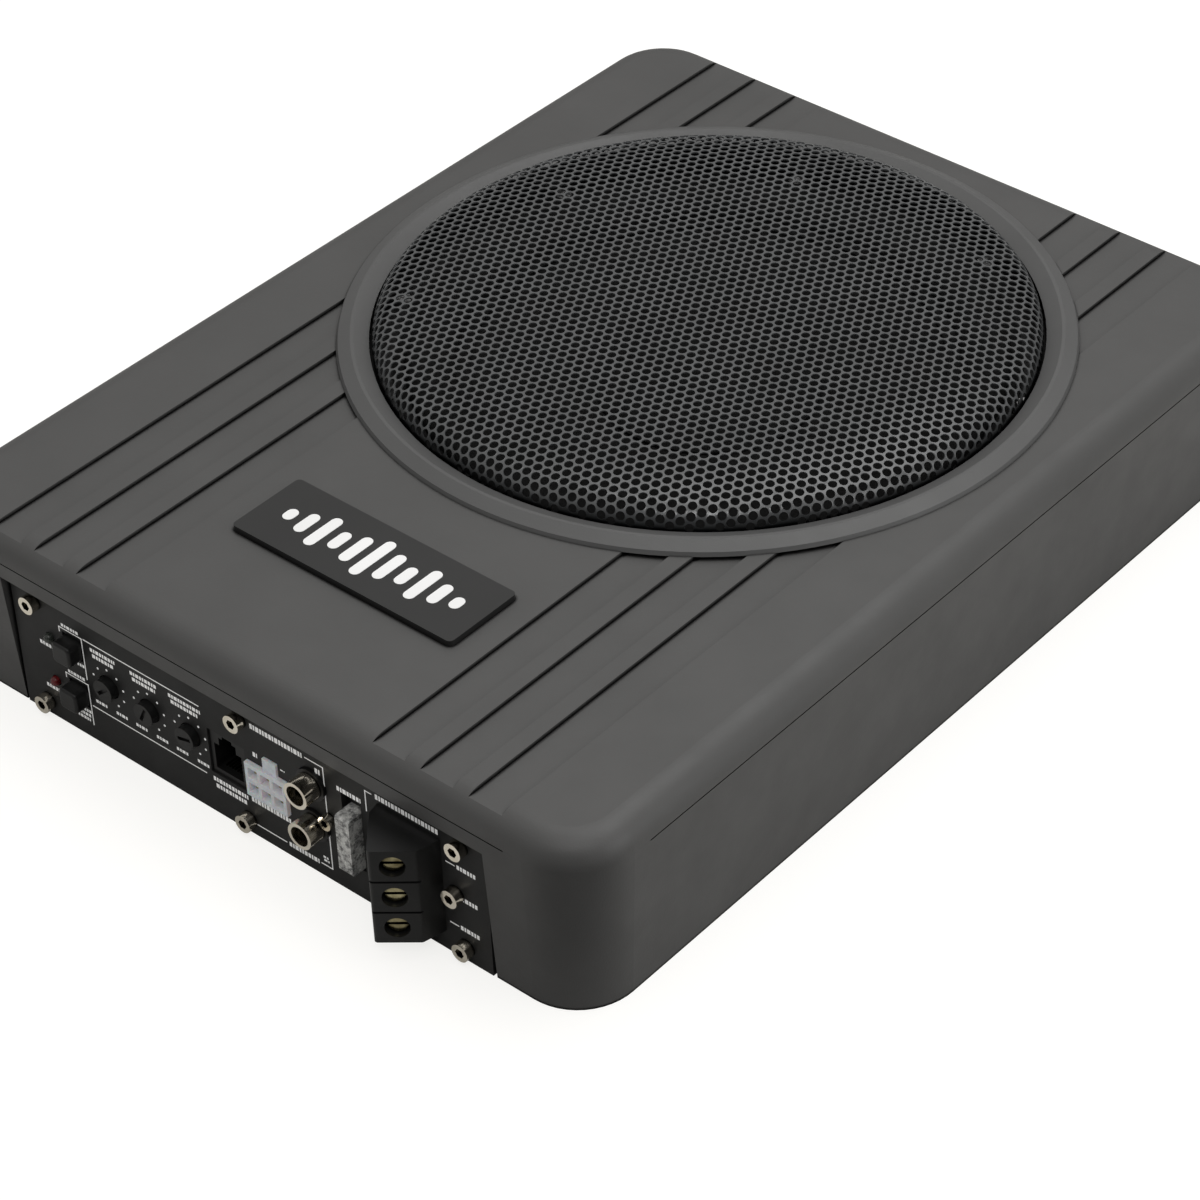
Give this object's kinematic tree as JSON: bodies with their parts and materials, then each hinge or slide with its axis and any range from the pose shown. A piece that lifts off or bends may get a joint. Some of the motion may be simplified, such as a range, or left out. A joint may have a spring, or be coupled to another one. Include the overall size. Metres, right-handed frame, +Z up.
{
  "type": "powered car subwoofer",
  "caption": "Flat box bass speaker with a domed round grille on top and a control and socket panel on the front edge.",
  "frame": {"origin": "centre of the underside of the bottom plate", "axes": "+Z up through the roof, -Y out of the front panel, +X to the right of someone facing the front panel"},
  "size_m": [0.244, 0.3306, 0.0697],
  "materials": {
    "shell_paint": "satin charcoal powder coat with a fine texture",
    "steel_paint": "satin black paint on pressed steel",
    "grille_paint": "satin black powder coat on perforated steel",
    "panel_paint": "satin charcoal paint with white printed lines",
    "bezel_plastic": "moulded black plastic, fine texture",
    "badge_plastic": "dark satin plate with a pale emblem",
    "black_plastic": "moulded black plastic",
    "white_plastic": "milky white nylon",
    "clear_plastic": "smoky clear polycarbonate",
    "dark_lens": "unlit smoky lens",
    "red_lens": "red translucent lens",
    "rubber": "matt black rubber",
    "cone_pulp": "pressed paper and polypropylene cone",
    "spider_cloth": "resin-dipped woven cotton",
    "nickel": "bright nickel plate with a warm tint",
    "brass": "yellow brass",
    "zinc_steel": "zinc-plated steel",
    "ferrite": "dark grey ferrite",
    "copper": "enamelled copper wire",
    "board_laminate": "green glass-epoxy laminate",
    "aluminium": "plain extruded aluminium",
    "can_sleeve": "dark heat-shrunk sleeve"
  },
  "bodies": {
    "enclosure": {"enclosure_shell": "shell_paint", "bottom_plate": "steel_paint", "bottom_plate_screws": "zinc_steel", "badge_plate": "badge_plastic", "bezel_ring": "bezel_plastic", "grille": "grille_paint", "trim_spacer": "black_plastic", "speaker_basket": "steel_paint", "speaker_terminal": "black_plastic", "surround": "rubber", "spider": "spider_cloth", "magnet": "ferrite", "top_plate": "zinc_steel", "back_plate": "zinc_steel", "speaker_screws": "zinc_steel", "speaker_leads": "black_plastic", "front_panel": "panel_paint", "panel_screws": "nickel", "jack_screw": "nickel", "potentiometers": "black_plastic", "switch_bodies": "black_plastic", "power_led": "dark_lens", "protect_led": "red_lens", "remote_socket": "black_plastic", "remote_contacts": "brass", "input_connector": "white_plastic", "input_pins": "brass", "jack_body": "black_plastic", "jack_barrels": "nickel", "jack_insulators": "black_plastic", "jack_contacts": "brass", "fuse_holder": "black_plastic", "fuse_clips": "brass", "terminal_block": "black_plastic", "terminal_inserts": "brass", "main_board": "board_laminate", "board_standoffs": "zinc_steel", "board_screws": "zinc_steel", "control_board": "board_laminate", "filter_capacitors": "can_sleeve", "toroid_transformer": "copper", "output_choke": "copper", "heat_spreader": "aluminium", "power_transistors": "black_plastic", "circuit_chips": "black_plastic"},
    "cone_assembly": {"cone": "cone_pulp", "dust_cap": "cone_pulp", "coil_former": "aluminium", "voice_coil": "copper"},
    "filter_control": {"filter_knob": "black_plastic"},
    "bass_control": {"bass_knob": "black_plastic"},
    "level_control": {"level_knob": "black_plastic"},
    "phase_switch": {"phase_button": "black_plastic"},
    "mode_switch": {"mode_button": "black_plastic"},
    "fuse": {"fuse_head": "clear_plastic", "fuse_blades": "zinc_steel"},
    "clamp_screw_1": {"terminal_screw_1": "brass"},
    "clamp_screw_2": {"terminal_screw_2": "brass"},
    "clamp_screw_3": {"terminal_screw_3": "brass"}
  },
  "joints": [
    {"name": "cone_stroke", "type": "slide", "parent": "enclosure", "child": "cone_assembly", "axis": [0, 0, 1], "range_m": [-0.005, 0.005], "stiffness_N_per_m": 4000, "deforming": ["surround", "spider"]},
    {"name": "filter_turn", "type": "hinge", "parent": "enclosure", "child": "filter_control", "pos_m": [-0.0515, -0.155, 0.024], "axis": [0, -1, 0], "range_deg": [-87, 183]},
    {"name": "bass_turn", "type": "hinge", "parent": "enclosure", "child": "bass_control", "pos_m": [-0.0358, -0.155, 0.024], "axis": [0, -1, 0], "range_deg": [-109, 161]},
    {"name": "level_turn", "type": "hinge", "parent": "enclosure", "child": "level_control", "pos_m": [-0.0201, -0.155, 0.024], "axis": [0, -1, 0], "range_deg": [-60, 210]},
    {"name": "phase_press", "type": "slide", "parent": "enclosure", "child": "phase_switch", "axis": [0, 1, 0], "range_m": [0, 0.002], "stiffness_N_per_m": 400},
    {"name": "mode_press", "type": "slide", "parent": "enclosure", "child": "mode_switch", "axis": [0, 1, 0], "range_m": [0, 0.002], "stiffness_N_per_m": 400},
    {"name": "fuse_pull", "type": "slide", "parent": "enclosure", "child": "fuse", "axis": [0, -1, 0], "range_m": [0, 0.02]},
    {"name": "clamp_screw_1_turn", "type": "hinge", "parent": "enclosure", "child": "clamp_screw_1", "pos_m": [0.065, -0.16773, 0.01233], "axis": [0.6293, -0.7771, 0], "continuous": true},
    {"name": "clamp_screw_2_turn", "type": "hinge", "parent": "enclosure", "child": "clamp_screw_2", "pos_m": [0.065, -0.16773, 0.023], "axis": [0.6293, -0.7771, 0], "continuous": true},
    {"name": "clamp_screw_3_turn", "type": "hinge", "parent": "enclosure", "child": "clamp_screw_3", "pos_m": [0.065, -0.16773, 0.03367], "axis": [0.6293, -0.7771, 0], "continuous": true}
  ]
}
